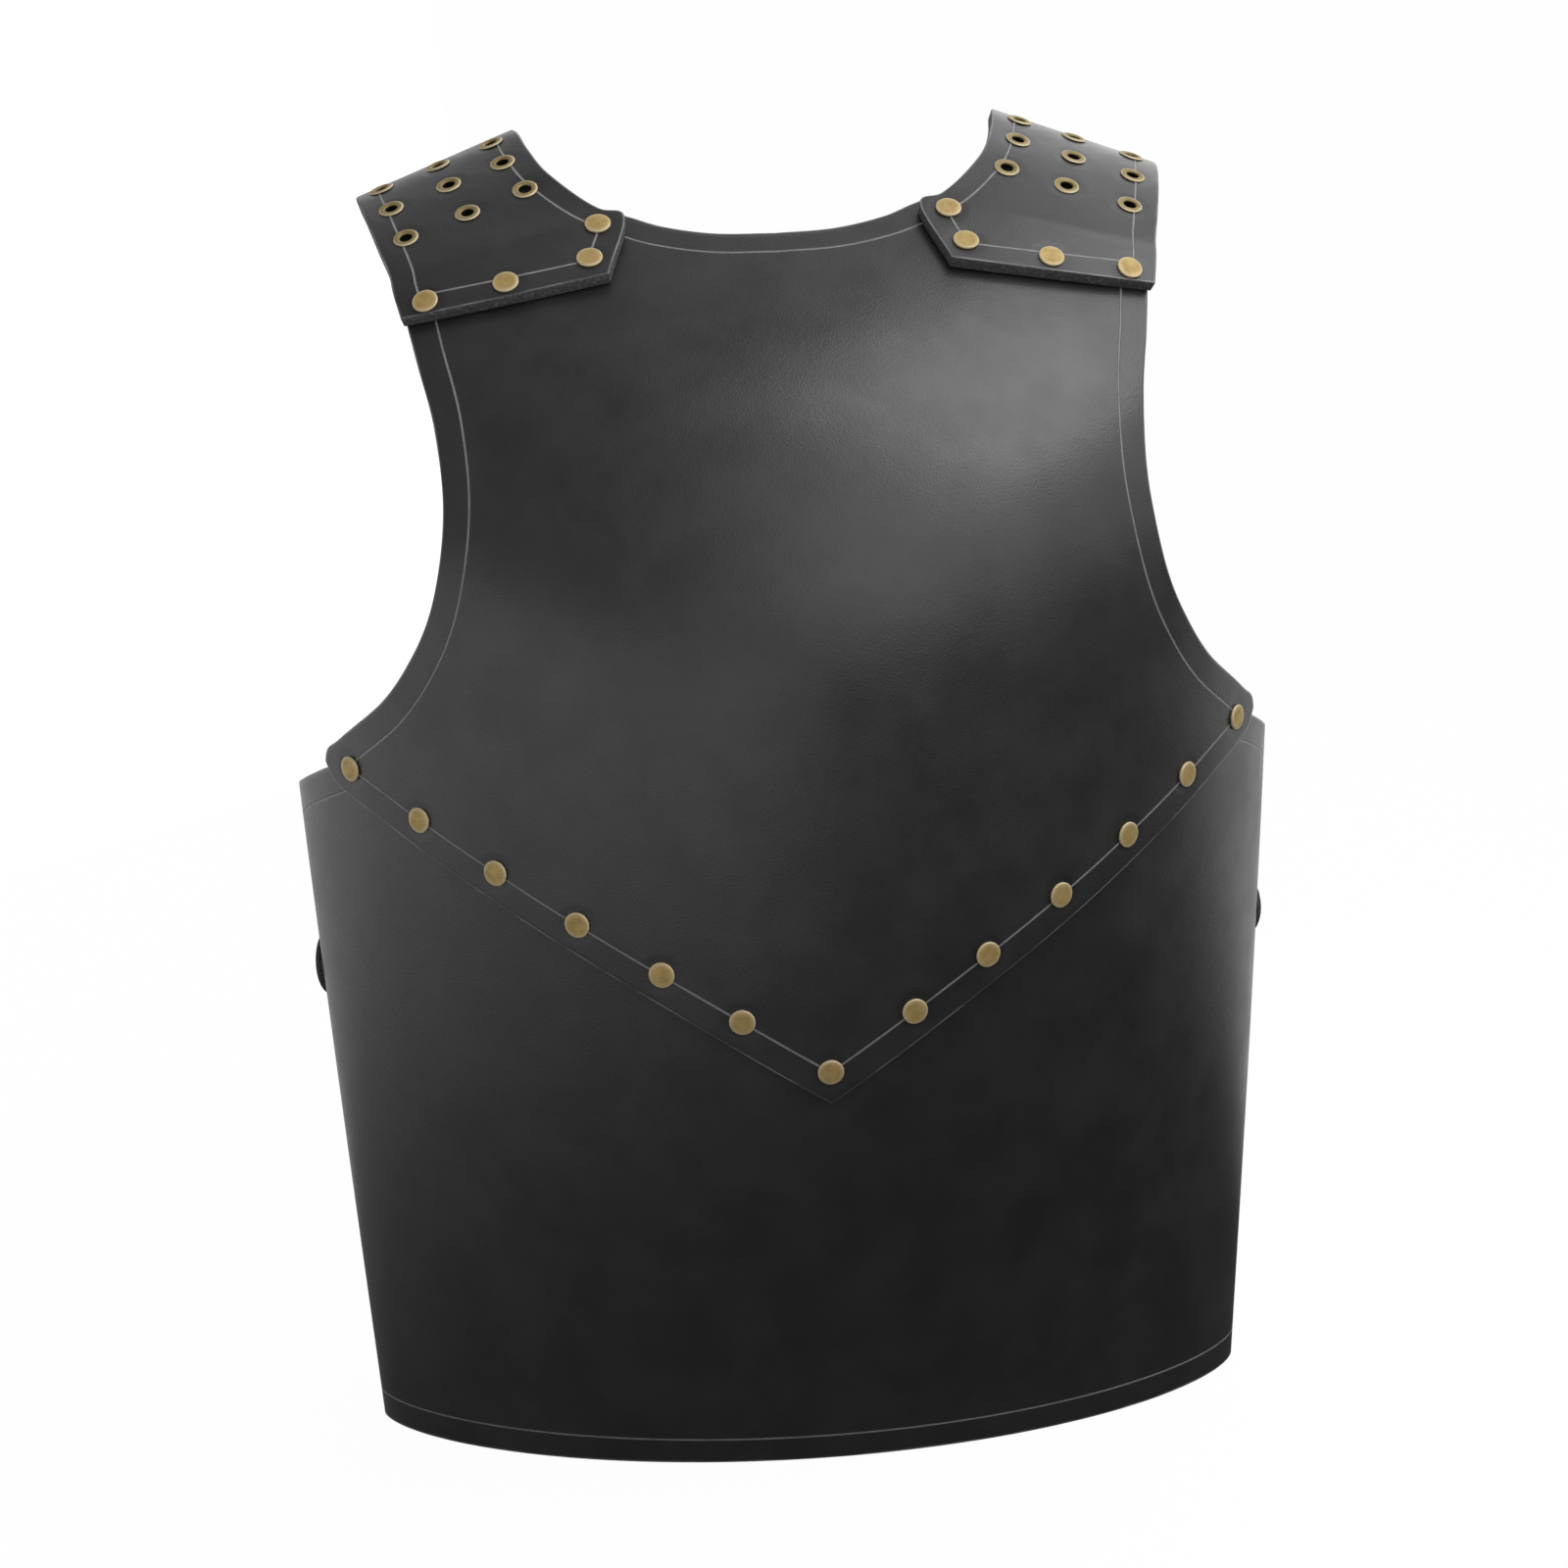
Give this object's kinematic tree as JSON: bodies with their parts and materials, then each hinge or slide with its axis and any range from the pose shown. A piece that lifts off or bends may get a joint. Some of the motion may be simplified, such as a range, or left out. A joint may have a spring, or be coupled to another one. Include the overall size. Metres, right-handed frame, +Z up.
{
  "type": "leather breastplate front",
  "caption": "Front half of a black leather breastplate: chest plate riveted over a wrapping belly plate along a V edge, thick riveted shoulder straps with eyelets, and small side tabs.",
  "frame": {"origin": "under the middle of the bounding box, on the plane that the hem stands on", "axes": "+Z up, the front faces -Y, the wearer's left side is +X (the viewer's right), alike on both sides of X = 0"},
  "size_m": [0.384, 0.2196, 0.5087],
  "materials": {
    "plate_leather": "smooth black leather, soft sheen",
    "strap_leather": "thick smooth black leather, rough cut front edge",
    "tab_leather": "thin black leather",
    "rivet_brass": "pale antique brass, satin",
    "eyelet_brass": "pale antique brass, satin",
    "buckle_brass": "plain antique brass, satin"
  },
  "bodies": {
    "root": {"chest_plate": "plate_leather", "belly_plate": "plate_leather", "shoulder_strap_right": "strap_leather", "shoulder_strap_left": "strap_leather", "edge_rivet_center": "rivet_brass", "edge_rivet_right_1": "rivet_brass", "edge_rivet_left_1": "rivet_brass", "edge_rivet_right_2": "rivet_brass", "edge_rivet_left_2": "rivet_brass", "edge_rivet_right_3": "rivet_brass", "edge_rivet_left_3": "rivet_brass", "edge_rivet_right_4": "rivet_brass", "edge_rivet_left_4": "rivet_brass", "edge_rivet_right_5": "rivet_brass", "edge_rivet_left_5": "rivet_brass", "edge_rivet_right_6": "rivet_brass", "edge_rivet_left_6": "rivet_brass", "strap_rivet_right_outer": "rivet_brass", "strap_rivet_left_outer": "rivet_brass", "strap_rivet_right_middle": "rivet_brass", "strap_rivet_left_middle": "rivet_brass", "strap_rivet_right_inner": "rivet_brass", "strap_rivet_left_inner": "rivet_brass", "strap_rivet_right_neck": "rivet_brass", "strap_rivet_left_neck": "rivet_brass", "eyelet_right_inner_1": "eyelet_brass", "eyelet_left_inner_1": "eyelet_brass", "eyelet_right_middle_1": "eyelet_brass", "eyelet_left_middle_1": "eyelet_brass", "eyelet_right_outer_1": "eyelet_brass", "eyelet_left_outer_1": "eyelet_brass", "eyelet_right_inner_2": "eyelet_brass", "eyelet_left_inner_2": "eyelet_brass", "eyelet_right_middle_2": "eyelet_brass", "eyelet_left_middle_2": "eyelet_brass", "eyelet_right_outer_2": "eyelet_brass", "eyelet_left_outer_2": "eyelet_brass", "eyelet_right_inner_3": "eyelet_brass", "eyelet_left_inner_3": "eyelet_brass", "eyelet_right_middle_3": "eyelet_brass", "eyelet_left_middle_3": "eyelet_brass", "eyelet_right_outer_3": "eyelet_brass", "eyelet_left_outer_3": "eyelet_brass", "side_tab_right_upper": "tab_leather", "side_tab_left_upper": "tab_leather", "buckle_frame_right_upper": "buckle_brass", "buckle_frame_left_upper": "buckle_brass", "tab_rivet_right_upper": "rivet_brass", "tab_rivet_left_upper": "rivet_brass", "side_tab_right_lower": "tab_leather", "side_tab_left_lower": "tab_leather", "buckle_frame_right_lower": "buckle_brass", "buckle_frame_left_lower": "buckle_brass", "tab_rivet_right_lower": "rivet_brass", "tab_rivet_left_lower": "rivet_brass"}
  },
  "joints": []
}
